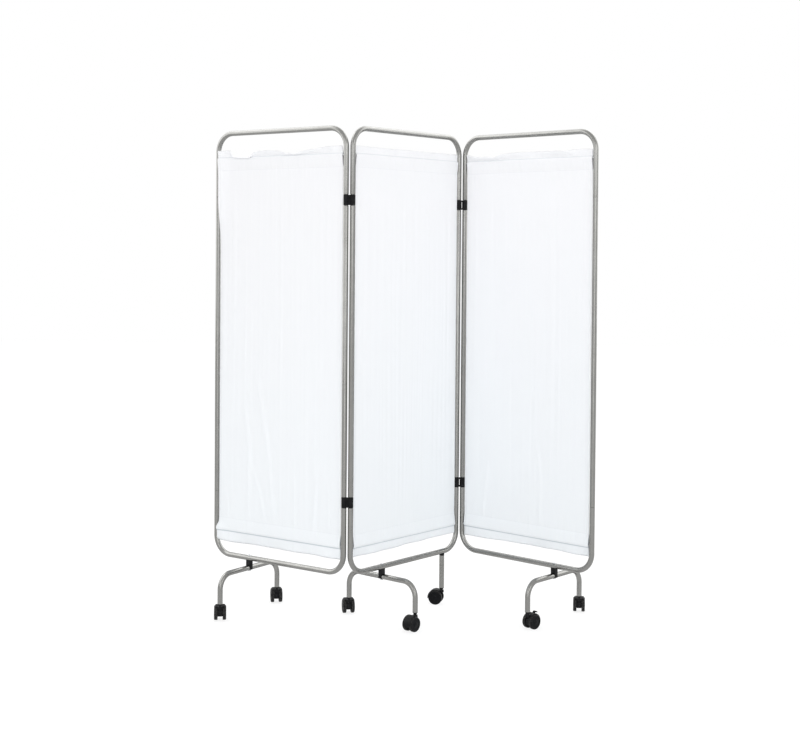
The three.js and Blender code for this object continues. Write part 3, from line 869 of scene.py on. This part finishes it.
def moulded_plastic(name, base, rubbed, rough, grain_scale, grain_depth, dust_amount):
    """Black moulded plastic: fine skin, edges rubbed a little lighter, dust where it settles."""
    material, tree, shader = new_material(name)
    spot = add_node(tree, "TexCoord", {}).outputs
    skin = add_node(
        tree, "Group", {"Place": spot["Object"], "Grain Scale": grain_scale},
        node_tree=moulded_skin).outputs
    dusty = add_node(
        tree, "Group",
        {"Place": spot["Object"], "Facing": spot["Normal"], "Amount": dust_amount},
        node_tree=settled_dust).outputs["Dust"]
    wear = add_node(tree, "Attribute", {}, attribute_name="edge_wear").outputs["Fac"]
    patchy = map_range(tree, skin["Marks"], 0.42, 0.62)
    worn = times(tree, wear, patchy, clamp=True)
    black = mix_colours(tree, skin["Marks"], (*base, 1), tuple(1.35 * c for c in base) + (1,))
    black = mix_colours(tree, times(tree, worn, 0.7), black, (*rubbed, 1))
    dull = map_range(tree, skin["Marks"], 0.3, 0.7, rough - 0.06, rough + 0.08)
    dull = math_node(tree, "MULTIPLY_ADD", dusty, 0.35, dull, clamp=True)
    set_inputs(tree, shader, {
        "Base Color": mix_colours(tree, dusty, black, (0.30, 0.29, 0.27, 1)),
        "Roughness": math_node(tree, "MULTIPLY_ADD", worn, -0.08, dull, clamp=True),
        "Normal": bumps(tree, 0.4, grain_depth, skin["Grain"]),
        "Specular IOR Level": 0.09,
    })
    return material


black_plastic = moulded_plastic(
    "black_moulded_plastic", (0.0060, 0.0062, 0.0070), (0.022, 0.022, 0.024),
    0.44, 1500.0, 0.00003, 0.12)


def soften(mesh, width, segments=2, edges=None):
    """Rounds the given edges of a mesh, or else all that turn by more than a small angle."""
    if edges is None:
        edges = [
            edge for edge in mesh.edges
            if len(edge.link_faces) == 2 and edge.calc_face_angle(0) > math.radians(25)]
    bmesh.ops.bevel(
        mesh, geom=edges, offset=width, offset_type="OFFSET", affect="EDGES", segments=segments,
        profile=0.5, material=-1, clamp_overlap=True)
    return mesh


def beveled_block(width, depth, height, middle, bevel):
    mesh = bmesh.new()
    size = Matrix.Diagonal((width, depth, height, 1))
    bmesh.ops.create_cube(mesh, size=1.0, matrix=Matrix.Translation(middle) @ size)
    return soften(mesh, bevel, 3)


def clip_piece(name, height, slit_through):
    low, high = height - clip_height / 2, height + clip_height / 2
    sleeves = (-hinge_pitch / 2, hinge_pitch / 2)
    first, second = (
        soften(round_bar(low, high, frame_radius, x=x, sides=64), clip_rounding, 3)
        for x in sleeves)
    piece = as_object(first, name)
    join(piece, second)
    join(piece, beveled_block(
        hinge_pitch, clip_bridge, clip_height - 2 * bridge_inset, (0, 0, height), 0.0008))
    groove = clip_bridge + groove_floor
    for y in (0,) if slit_through else (-groove, groove):
        cut(piece, beveled_block(clip_slit, clip_bridge * 2, slit_height, (0, y, height), 0.0006))
    for x in sleeves:
        cut(piece, round_bar(low - 0.002, high + 0.002, clip_bore, x=x, sides=64))
    return refinish(piece)


for side, middle in (("left", left_hinge), ("right", right_hinge)):
    for level, height in zip(("lower", "upper"), clip_heights):
        clip = clip_piece(f"{side}_hinge_{level}_sleeves", height, side == "right")
        set_piece(
            moved(clip, Matrix.Translation(middle)), f"{side}_hinge_clips", "black_plastic",
            black_plastic, f"{side}_hinge_{level}_clip")


# The saddles: black blocks with a seat for the rail on top and two cheeks astride the foot's bar.
# The post has a plug instead, whose collar carries the rail in a cradle of its own.
saddle_width = 0.0208
saddle_depth = 0.0135
saddle_low = bar_height - 0.0065
saddle_high = bottom_rail - frame_radius + 0.005
collar_high = bottom_rail - frame_radius + 0.003
seat_gap = 0.0003
plug_radius = 0.0068
plug_length = 0.024


def rail_seat(x, reach):
    seat = frame_radius + seat_gap
    return round_bar(x - reach, x + reach, seat, y=bottom_rail, axis="X", sides=64)


def saddle_piece(name, x):
    middle = (x, 0, (saddle_low + saddle_high) / 2)
    block = beveled_block(saddle_width, saddle_depth, saddle_high - saddle_low, middle, 0.0010)
    piece = as_object(block, name)
    cut(piece, rail_seat(x, saddle_width))
    cut(piece, round_bar(
        -saddle_width, saddle_width, leg_radius + seat_gap, x=x, y=bar_height, axis="Y",
        sides=64))
    return refinish(piece)


def post_plug_piece(name, x):
    collar = round_bar(post_top + seat_gap, collar_high, leg_radius, x=x, sides=64)
    piece = as_object(soften(collar, 0.0005), name)
    shank = round_bar(post_top - plug_length, post_top + 0.0025, plug_radius, x=x)
    join(piece, soften(shank, 0.0006))
    cut(piece, rail_seat(x, 0.02))
    return refinish(piece)


for panel, place in panel_places.items():
    saddle = saddle_piece(f"{panel}_saddle_block", foot_insets[panel])
    set_piece(
        moved(saddle, place), f"{panel}_panel", "black_plastic", black_plastic,
        f"{panel}_foot_saddle")
plug = post_plug_piece("middle_post_top_plug", post_inset)
set_piece(
    moved(plug, panel_places["middle"]), "middle_panel", "black_plastic", black_plastic,
    "middle_post_plug")


# The bolts: zinc-plated, with a low domed head and a six-sided socket on the rail, down through
# rail, block and bar to a low six-sided nut.
bolt_radius = 0.003
bolt_tip = 0.0005
bolt_play = 0.0001
socket_radius = 0.0021
head_radius = 0.006
head_height = 0.003
nut_height = 0.003
nut_radius = 0.0055


def spun(profile, steps):
    """A solid of revolution from a line of (distance from the axis, height) points."""
    mesh = bmesh.new()
    verts = [mesh.verts.new((across_by, 0, along_by)) for across_by, along_by in profile]
    edges = [mesh.edges.new(pair) for pair in zip(verts, verts[1:])]
    bmesh.ops.spin(
        mesh, geom=[*verts, *edges], cent=(0, 0, 0), axis=(0, 0, 1), angle=2 * math.pi,
        steps=steps, use_merge=True, use_duplicate=False)
    bmesh.ops.remove_doubles(mesh, verts=mesh.verts, dist=1e-6)
    bmesh.ops.recalc_face_normals(mesh, faces=mesh.faces)
    return mesh


def bolt_piece(name, x, nut_top):
    seat = bottom_rail + frame_radius + bolt_play
    foot = nut_top - nut_height - 0.0004
    top = seat + head_height
    piece = as_object(spun((
        (0, foot), (bolt_radius - bolt_tip, foot), (bolt_radius, foot + bolt_tip),
        (bolt_radius, seat - 0.0004), (head_radius - 0.0002, seat - 0.0004), (head_radius, seat),
        (head_radius, seat + 0.0006), (head_radius - 0.0004, seat + 0.0013),
        (head_radius * 0.78, seat + head_height * 0.78),
        (head_radius * 0.55, seat + head_height * 0.95), (head_radius * 0.42, top), (0, top)),
        40), name)
    cut(piece, round_bar(top - 0.0018, top + 0.001, socket_radius, sides=6))
    return refinish(moved(piece, Matrix.Translation((x, 0, 0))))


def nut_piece(name, x, nut_top):
    """A six-sided nut with rounded corners and the bolt's hole through it."""
    nut = round_bar(nut_top - nut_height, nut_top, nut_radius, x=x, sides=6)
    piece = as_object(soften(nut, 0.0005), name)
    hole = bolt_radius + bolt_play
    cut(piece, round_bar(nut_top - nut_height - 0.001, nut_top + 0.001, hole, x=x, sides=32))
    return refinish(piece)


def small_metal(name, dark, light, rough_low, rough_high):
    """The skin of small parts, which has no lengthwise lines but is mottled and cloudy."""
    material, tree, shader = new_material(name)
    spot = add_node(tree, "TexCoord", {}).outputs["Object"]
    skin = add_node(
        tree, "Group", {"Place": spot, "Grain Scale": 900.0}, node_tree=moulded_skin).outputs
    set_inputs(tree, shader, {
        "Base Color": mix_colours(tree, skin["Marks"], (*dark, 1), (*light, 1)),
        "Roughness": map_range(tree, skin["Marks"], 0.3, 0.7, rough_high, rough_low),
        "Normal": bumps(tree, 0.2, 0.00002, skin["Grain"]),
        "Metallic": 1.0,
    })
    return material


small_zinc = small_metal("plated_zinc", (0.50, 0.51, 0.53), (0.70, 0.71, 0.72), 0.22, 0.36)
dark_steel = small_metal(
    "blackened_steel", (0.022, 0.022, 0.024), (0.035, 0.035, 0.037), 0.36, 0.48)
under_bar = bar_height - leg_radius - bolt_play
bolted = [(panel, f"{panel}_foot", foot_insets[panel], under_bar) for panel in panel_places]
bolted.append(("middle", "middle_post", post_inset, post_top - plug_length - seat_gap))
for panel, name, x, nut_top in bolted:
    place, body = panel_places[panel], f"{panel}_panel"
    bolt = moved(bolt_piece(f"{name}_cap_bolt", x, nut_top), place)
    set_piece(bolt, body, "rod_steel", small_zinc, f"{name}_bolt")
    nut = moved(nut_piece(f"{name}_bolt_nut", x, nut_top), place)
    set_piece(nut, body, "rod_steel", small_zinc)


# The castors: seven twin-wheel castors of black plastic. A ribbed plug fills the leg's end, a
# blackened pin turns in it, and a hood covers both wheels, with an open mouth under its boss. The
# wheels run on one steel axle behind the pin. Here X points the way that a castor trails.
wheel_radius = 0.025
wheel_width = 0.012
wheel_gap = 0.0175
axle_radius = 0.003
axle_offset = 0.020
axle_inset = 0.0033
hood_width = 0.034
hood_inner = 0.0266
hood_outer = 0.0290
hood_start, hood_sweep, hood_steps = 8, 125, 36
web_gap = 0.00075
web_radius = 0.0215
rib_inner, rib_outer, rib_width = 0.0168, 0.0185, 0.0222
boss_radius = 0.0085
boss_top = 0.052
boss_foot = boss_top - 0.009
stem_radius = 0.005
plug_foot = 0.0555
plug_ribs = 4
brake_pin = (0.026, 0.044)
pin_radius = 0.0015
pin_end = 0.0073
lever_slot = (0.0292, 0.0096, 0.0186)
slot_middle = (0.0367, 0, 0.0494)
lever_width = 0.009
lever_hub = 0.0036
lever_bore = 0.0018
castor_places = {
    "left_front": ("left", foot_insets["left"], -foot_reach, 96),
    "left_back": ("left", foot_insets["left"], foot_reach, 100),
    "middle_front": ("middle", foot_insets["middle"], -foot_reach, 230),
    "middle_back": ("middle", foot_insets["middle"], foot_reach, 100),
    "middle_post": ("middle", post_inset, 0.0, 165),
    "right_front": ("right", foot_insets["right"], -foot_reach, 42),
    "right_back": ("right", foot_insets["right"], foot_reach, 82),
}
braked = "right_front"


def arc_points(radius, start, end, steps):
    """Points round the axle, between two angles in degrees above the trailing way."""
    turns = [math.radians(start + (end - start) * k / steps) for k in range(steps + 1)]
    return [
        (axle_offset + radius * math.cos(turn), wheel_radius + radius * math.sin(turn))
        for turn in turns]


def plate_mesh(outline, width, bevel, segments=2):
    """A plate cut to a side outline of (x, z) points, its rim rounded."""
    mesh = bmesh.new()
    face = mesh.faces.new([mesh.verts.new((x, -width / 2, z)) for x, z in outline])
    made = bmesh.ops.extrude_face_region(mesh, geom=[face])["geom"]
    far = [item for item in made if isinstance(item, bmesh.types.BMVert)]
    bmesh.ops.translate(mesh, verts=far, vec=(0, width, 0))
    bmesh.ops.recalc_face_normals(mesh, faces=mesh.faces)
    if bevel:
        rim = [e for e in mesh.edges if abs(e.verts[0].co.y - e.verts[1].co.y) < 1e-7]
        soften(mesh, bevel, segments, rim)
    return mesh


def castor_plug_mesh():
    """A flanged bush with ribs that grip the leg's bore."""
    bore = stem_radius + seat_gap
    top, flange = leg_end + plug_length, leg_end - seat_gap
    profile = [
        (bore, plug_foot), (0.0060, plug_foot), (0.0066, 0.0560), (0.0080, 0.0582),
        (leg_radius - 0.0002, 0.0594), (leg_radius, flange), (plug_radius, flange)]
    for k in range(plug_ribs):
        rib = leg_end + 0.003 + 0.005 * k
        profile += [(plug_radius - 0.0005, rib), (plug_radius, rib + 0.0035)]
    profile += [(plug_radius - 0.0008, top), (bore, top), (bore, plug_foot)]
    return spun(profile, 48)


def castor_stem_mesh():
    """A pin with a shallow groove for its grip ring and a rounded top."""
    pocket, groove = boss_foot + 0.0024, stem_radius - 0.0006
    return spun((
        (0, pocket), (stem_radius, pocket), (stem_radius, 0.0710), (groove, 0.0714),
        (groove, 0.0730), (stem_radius, 0.0734), (stem_radius, 0.0812),
        (stem_radius - 0.0008, 0.0820), (0, 0.0820)), 40)


def castor_axle_mesh():
    half = wheel_gap / 2 + wheel_width - axle_inset
    axle = round_bar(
        -half, half, axle_radius, x=axle_offset, y=wheel_radius, axis="Y", sides=32)
    return soften(axle, 0.0004)


def hood_piece(name, has_brake):
    """The guard over the wheels, the ribbed web between them and the boss, in one."""
    half = hood_width / 2
    section = (
        (-half, hood_inner), (-half, hood_outer - 0.0022), (-half + 0.0006, hood_outer - 0.0010),
        (-half + 0.0022, hood_outer - 0.0002), (-half + 0.0045, hood_outer))
    section = [*section, *[(-y, r) for y, r in reversed(section)]]
    mesh = bmesh.new()
    verts = [mesh.verts.new((axle_offset + r, y, wheel_radius)) for y, r in section]
    face = mesh.faces.new(verts)
    axle = (axle_offset, 0, wheel_radius)
    start = Matrix.Rotation(math.radians(hood_start), 3, "Y")
    bmesh.ops.rotate(mesh, verts=verts, cent=axle, matrix=start)
    bmesh.ops.spin(
        mesh, geom=[face], cent=axle, axis=(0, -1, 0), angle=math.radians(hood_start + hood_sweep),
        steps=hood_steps, use_duplicate=False)
    bmesh.ops.recalc_face_normals(mesh, faces=mesh.faces)
    piece = as_object(mesh, name)
    outline = [
        *arc_points(hood_outer - 0.0012, -8, 120, 30), (0.003, boss_foot),
        (0.003, boss_foot - 0.009), *arc_points(web_radius, 155, 206, 10),
        *arc_points(web_radius, 334, 345, 3)]
    join(piece, plate_mesh(outline, wheel_gap - 2 * web_gap, 0.0006))
    rib = [*arc_points(rib_outer, -28, 208, 30), *arc_points(rib_inner, 208, -28, 30)]
    join(piece, plate_mesh(rib, rib_width, 0))
    join(piece, soften(round_bar(boss_foot, boss_top, boss_radius, sides=56), 0.0008, 3))
    if has_brake:
        cut(piece, beveled_block(*lever_slot, slot_middle, 0.0006))
        x, z = brake_pin
        join(piece, round_bar(-pin_end, pin_end, pin_radius, x=x, y=z, axis="Y", sides=24))
    return refinish(piece)


def wheel_mesh(side):
    """One wheel from its hub and rim on the inside to the dished disc and cap on the outside."""
    bore = axle_radius + seat_gap
    mesh = spun((
        (0, 0.0090), (bore, 0.0090), (bore, 0.0003), (0.0058, 0.0003), (0.0064, 0.0008),
        (0.0070, 0.0060), (0.0080, 0.0066), (0.0200, 0.0062), (0.0212, 0.0056),
        (0.0220, 0.0008), (0.0226, 0.0002), (0.0242, 0.0002), (0.0248, 0.0006),
        (0.0250, 0.0012), (0.0250, 0.0082), (0.0248, 0.0096), (0.0242, 0.0108),
        (0.0231, 0.0117), (0.0216, 0.0120), (0.0204, 0.0120), (0.0199, 0.0118),
        (0.0196, 0.0111), (0.0190, 0.0108), (0.0140, 0.0110), (0.0090, 0.0111),
        (0.0084, 0.0112), (0.0080, 0.0118), (0.0074, 0.0121), (0.0040, 0.0123), (0, 0.0124)), 72)
    tread = mesh.verts.layers.float.new("tread")
    for vert in mesh.verts:
        vert[tread] = ramp(math.hypot(vert.co.x, vert.co.y), 0.0236, 0.0249)
    turn = Matrix.Rotation(-math.pi / 2 * side, 3, "X")
    return stood(mesh, turn, (axle_offset, side * wheel_gap / 2, wheel_radius))


def lever_piece(name):
    """The brake's lever: a hub on its pin and a cranked arm, which a foot presses down."""
    pin_x, pin_z = brake_pin
    outline = (
        (-0.0029, 0), (0.0036, 0), (0.0066, 0.0048), (0.0096, 0.0092), (0.0122, 0.0096),
        (0.0180, 0.0070), (0.0198, 0.0078), (0.0200, 0.0100), (0.0160, 0.0122),
        (0.0120, 0.0138), (0.0086, 0.0140), (0.0060, 0.0130), (0.0020, 0.0070))
    arm = plate_mesh([(pin_x + x, pin_z + z) for x, z in outline], lever_width, 0.0007, 3)
    piece = as_object(arm, name)
    half = lever_width / 2
    hub = round_bar(-half, half, lever_hub, x=pin_x, y=pin_z, axis="Y", sides=40)
    join(piece, soften(hub, 0.0004))
    reach = half + 0.002
    cut(piece, round_bar(-reach, reach, lever_bore, x=pin_x, y=pin_z, axis="Y", sides=24))
    return refinish(piece)


def wheel_nylon():
    """Black nylon, smooth on the disc, dull and a little dusty where the tread meets the floor."""
    material = moulded_plastic(
        "black_wheel_nylon", (0.0038, 0.0040, 0.0048), (0.016, 0.016, 0.018),
        0.36, 900.0, 0.00002, 0.10)
    tree = material.node_tree
    shader = tree.nodes["Principled BSDF"]
    plain, dull = (
        shader.inputs[name].links[0].from_socket for name in ("Base Color", "Roughness"))
    tread = add_node(tree, "Attribute", {}, attribute_name="tread").outputs["Fac"]
    spot = add_node(tree, "TexCoord", {}).outputs["Object"]
    patch = map_range(tree, noise_texture(tree, spot, 260.0, 4.0), 0.35, 0.75)
    share = times(tree, tread, patch, clamp=True)
    scuffed = times(tree, share, 0.5)
    set_inputs(tree, shader, {
        "Base Color": mix_colours(tree, scuffed, plain, (0.10, 0.098, 0.093, 1)),
        "Roughness": math_node(tree, "MULTIPLY_ADD", share, 0.4, dull, clamp=True),
    })
    return material


black_nylon = wheel_nylon()
patterns = {
    "plain_hood": hood_piece("plain_hood_pattern", False),
    "braked_hood": hood_piece("braked_hood_pattern", True),
}
for part, mesh in (
        ("plug", castor_plug_mesh()), ("stem", castor_stem_mesh()), ("axle", castor_axle_mesh()),
        ("wheel_a", wheel_mesh(1)), ("wheel_b", wheel_mesh(-1))):
    finish_mesh(mesh, 28)
    mark_edges(mesh)
    patterns[part] = as_object(mesh, f"{part}_pattern")


def cast(part, name, place):
    """Another piece out of the same mould, at its own place."""
    data = patterns[part].data.copy()
    data.name = name
    data.transform(place)
    return into_scene(name, data)


for castor, (panel, x, y, trail) in castor_places.items():
    place = Matrix.Translation(panel_places[panel] @ Vector((x, y, 0))) @ turned_by(trail)
    hood = "braked_hood" if castor == braked else "plain_hood"
    set_piece(
        cast("plug", f"{castor}_leg_plug", place), f"{panel}_panel", "black_plastic",
        black_plastic, f"{castor}_castor_plug")
    body = f"{castor}_castor"
    set_piece(
        cast(hood, f"{castor}_wheel_hood", place), body, "black_plastic", black_plastic,
        f"{castor}_castor_hood")
    set_piece(cast("stem", f"{castor}_dark_stem", place), body, "rod_steel", dark_steel)
    set_piece(cast("axle", f"{castor}_steel_axle", place), body, "rod_steel", small_zinc)
    for wheel in ("wheel_a", "wheel_b"):
        set_piece(
            cast(wheel, f"{castor}_nylon_{wheel}", place), f"{castor}_{wheel}", "wheel_nylon",
            black_nylon, f"{castor}_castor_{wheel}")
    if castor == braked:
        set_piece(
            moved(lever_piece(f"{castor}_foot_lever"), place), f"{castor}_brake",
            "black_plastic", black_plastic, f"{castor}_castor_brake_lever")
for pattern in patterns.values():
    bpy.data.objects.remove(pattern)


# The studio: a white room and a pale floor that keeps a soft shadow, with soft lamps in front and
# above, and two cards of light that only polished metal mirrors. The camera stands a little above
# the curtains' middle.
room_light = 0.84
floor_size = 14
floor_glow = 0.82
camera_place = (-0.0121, -4.8470, 1.2816)
camera_tilt = 0.021
camera_roll = 0.008


def looked_at(tree):
    """1 for what the camera, a mirror or glass looks at, 0 for what only gives light."""
    seen = add_node(tree, "LightPath", {}).outputs
    direct = math_node(tree, "MAXIMUM", seen["Is Camera Ray"], seen["Is Glossy Ray"])
    return math_node(tree, "MAXIMUM", direct, seen["Is Transmission Ray"])


world = bpy.data.worlds.new("white_room")
bpy.context.scene.world = world
world.use_nodes = True
tree = world.node_tree
strength = math_node(tree, "MULTIPLY_ADD", looked_at(tree), 1.0 - room_light, room_light)
set_inputs(tree, tree.nodes["Background"], {"Strength": strength, "Color": (1, 1, 1, 1)})

mesh = bmesh.new()
bmesh.ops.create_grid(mesh, x_segments=1, y_segments=1, size=floor_size)
floor = as_object(mesh, "studio_floor")
floor_paint, tree, shader = new_material("floor_paint")
spot = add_node(tree, "TexCoord", {}).outputs["Object"]
mottle = noise_texture(tree, spot, 3.0, 3.0)
pale = mix_colours(tree, mottle, (0.78, 0.78, 0.78, 1), (0.82, 0.82, 0.82, 1))
direct = looked_at(tree)
set_inputs(tree, shader, {
    "Base Color": mix_colours(tree, direct, pale, (0.22, 0.22, 0.22, 1)),
    "Emission Color": (1, 1, 1, 1),
    "Emission Strength": times(tree, direct, floor_glow),
    "Roughness": 0.9,
    "Specular IOR Level": 0.0,
})
floor.data.materials.append(floor_paint)


def soft_lamp(name, place, target, width, depth, power, only_mirrored=False):
    """A soft square of light, or a card that shows in polished metal and lights nothing else."""
    lamp = bpy.data.lights.new(name, "AREA")
    lamp.shape, lamp.size, lamp.size_y, lamp.energy = "RECTANGLE", width, depth, power
    stand = into_scene(name, lamp)
    stand.location = place
    stand.rotation_euler = (Vector(target) - Vector(place)).to_track_quat("-Z", "Y").to_euler()
    stand.visible_camera = False
    stand.visible_diffuse = not only_mirrored


soft_lamp("front_left_lamp", (-2.4, -4.4, 2.6), (0, 0, 0.9), 2.2, 2.2, 23)
soft_lamp("front_right_lamp", (3.0, -4.2, 2.8), (0, 0, 0.9), 2.2, 2.2, 33)
soft_lamp("level_lamp", (0, -6.6, 1.5), (0, 0, 1.1), 3.0, 3.0, 44)
soft_lamp("ceiling_lamp", (-0.2, 1.7, 3.9), (0, 0, 1.5), 5.6, 2.8, 82)
soft_lamp("left_card", (-2.8, 0.4, 2.6), (0, 0, 1.2), 3.4, 3.8, 68, only_mirrored=True)
soft_lamp("right_card", (2.6, 1.3, 2.6), (0, 0, 1.2), 3.4, 3.8, 68, only_mirrored=True)

camera = into_scene("photo_camera", bpy.data.cameras.new("photo_camera"))
bpy.context.scene.camera = camera
tilt = Matrix.Rotation(math.pi / 2 - camera_tilt, 4, "X") @ Matrix.Rotation(camera_roll, 4, "Z")
camera.matrix_world = Matrix.Translation(camera_place) @ tilt
camera.data.lens = 62.4
camera.data.sensor_width = 36
camera.data.shift_x = 0.0022
camera.data.shift_y = -0.116
bpy.context.scene.view_settings.view_transform = "Standard"
